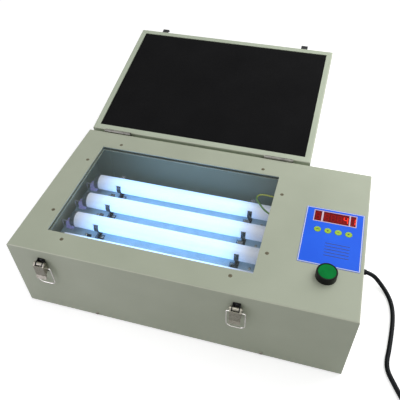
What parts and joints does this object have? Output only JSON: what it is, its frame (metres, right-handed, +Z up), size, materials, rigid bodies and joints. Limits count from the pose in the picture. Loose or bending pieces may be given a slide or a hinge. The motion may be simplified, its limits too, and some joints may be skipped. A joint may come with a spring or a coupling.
{
  "type": "screen printing exposure unit",
  "caption": "Tabletop exposure unit: lamps under a glass window in a steel box, hinged lid with foam pressure pad, draw latches, timer panel, start button and mains cord.",
  "frame": {"origin": "middle of the rectangle that the unit covers on the floor with its lid open, without the cord, at floor level", "axes": "+X to the right along the front, +Y from the front to the back, +Z up"},
  "size_m": [0.6912, 0.6231, 0.1993],
  "materials": {
    "housing_paint": "satin, sage",
    "lid_paint": "satin, sage",
    "inner_steel": "galvanised",
    "tray_steel": "satin reflector",
    "zinc": "zinc plated",
    "spring_steel": "bright",
    "hinge_metal": "dull",
    "black_metal": "satin",
    "rubber": "matte",
    "foam": "matte foam",
    "glass": "clear",
    "lamp_glass": "white phosphor",
    "lamp_caps": "satin",
    "lamp_pins": "bright",
    "holder_plastic": "satin",
    "lead_insulation": "satin",
    "earth_insulation": "satin",
    "ballast_case": "satin",
    "board": "satin",
    "display_red": "gloss",
    "filter_red": "gloss",
    "switch_plastic": "matte",
    "label_blue": "satin",
    "key_yellow": "satin",
    "button_black": "satin",
    "button_green": "satin",
    "cord_rubber": "satin"
  },
  "bodies": {
    "housing": {"housing_shell": "housing_paint", "bottom_plate": "housing_paint", "bottom_screws": "zinc", "rubber_feet": "rubber", "glass_gasket": "rubber", "window_glass": "glass", "glass_retainer": "inner_steel", "window_screws": "zinc", "reflector_tray": "tray_steel", "tray_screws": "zinc", "holder_rails": "tray_steel", "rail_rivets": "zinc", "lamp_tube_front": "lamp_glass", "lamp_tube_front_middle": "lamp_glass", "lamp_tube_rear_middle": "lamp_glass", "lamp_tube_rear": "lamp_glass", "lamp_end_caps": "lamp_caps", "lamp_pins": "lamp_pins", "lampholders": "holder_plastic", "lamp_clips": "spring_steel", "clip_screws": "zinc", "lamp_wires": "lead_insulation", "lamp_ballasts": "ballast_case", "earth_wire": "earth_insulation", "partition_wall": "inner_steel", "timer_board": "board", "board_spacers": "zinc", "display_filter": "filter_red", "led_display": "display_red", "key_switches": "switch_plastic", "control_label": "label_blue", "start_button_bezel": "button_black", "start_button_nut": "button_black", "start_button_body": "button_black", "hinge_box_leaves": "hinge_metal", "hinge_pins": "hinge_metal", "hinge_box_screws": "zinc", "latch_bases": "black_metal", "latch_rivets": "zinc", "latch_pins": "zinc", "cord_gland": "cord_rubber", "power_cord": "cord_rubber", "cord_coil": "cord_rubber", "mains_plug": "cord_rubber"},
    "lid": {"lid_tray": "lid_paint", "lid_foam": "foam", "hinge_lid_leaves": "hinge_metal", "hinge_lid_screws": "zinc", "lid_strikes": "black_metal", "strike_rivets": "zinc"},
    "latch_lever_left": {"latch_left_lever": "zinc"},
    "latch_bail_left": {"latch_left_bail": "zinc"},
    "latch_lever_right": {"latch_right_lever": "zinc"},
    "latch_bail_right": {"latch_right_bail": "zinc"},
    "start_button": {"start_button_cap": "button_green"},
    "set_key_1_body": {"set_key_1": "key_yellow"},
    "set_key_2_body": {"set_key_2": "key_yellow"},
    "set_key_3_body": {"set_key_3": "key_yellow"},
    "set_key_4_body": {"set_key_4": "key_yellow"}
  },
  "joints": [
    {"name": "lid_hinge", "type": "hinge", "parent": "housing", "child": "lid", "pos_m": [0, 0.00643, 0.1422], "axis": [-1, 0, 0], "range_deg": [-168.2, 0]},
    {"name": "latch_lever_left_pivot", "type": "hinge", "parent": "housing", "child": "latch_lever_left", "pos_m": [-0.198, -0.28357, 0.1195], "axis": [-1, 0, 0], "range_deg": [0, 120]},
    {"name": "latch_bail_left_pivot", "type": "hinge", "parent": "latch_lever_left", "child": "latch_bail_left", "pos_m": [-0.198, -0.28257, 0.1105], "axis": [1, 0, 0], "range_deg": [-180, 0]},
    {"name": "latch_lever_right_pivot", "type": "hinge", "parent": "housing", "child": "latch_lever_right", "pos_m": [0.093, -0.28357, 0.1195], "axis": [-1, 0, 0], "range_deg": [0, 120]},
    {"name": "latch_bail_right_pivot", "type": "hinge", "parent": "latch_lever_right", "child": "latch_bail_right", "pos_m": [0.093, -0.28257, 0.1105], "axis": [1, 0, 0], "range_deg": [-180, 0]},
    {"name": "start_button_press", "type": "slide", "parent": "housing", "child": "start_button", "axis": [0, 0, 1], "range_m": [-0.0035, 0], "stiffness_N_per_m": 800, "springref_m": 0.001},
    {"name": "set_key_1_press", "type": "slide", "parent": "housing", "child": "set_key_1_body", "axis": [0, 0, 1], "range_m": [-0.0006, 0], "stiffness_N_per_m": 500, "springref_m": 0.0004},
    {"name": "set_key_2_press", "type": "slide", "parent": "housing", "child": "set_key_2_body", "axis": [0, 0, 1], "range_m": [-0.0006, 0], "stiffness_N_per_m": 500, "springref_m": 0.0004},
    {"name": "set_key_3_press", "type": "slide", "parent": "housing", "child": "set_key_3_body", "axis": [0, 0, 1], "range_m": [-0.0006, 0], "stiffness_N_per_m": 500, "springref_m": 0.0004},
    {"name": "set_key_4_press", "type": "slide", "parent": "housing", "child": "set_key_4_body", "axis": [0, 0, 1], "range_m": [-0.0006, 0], "stiffness_N_per_m": 500, "springref_m": 0.0004}
  ]
}
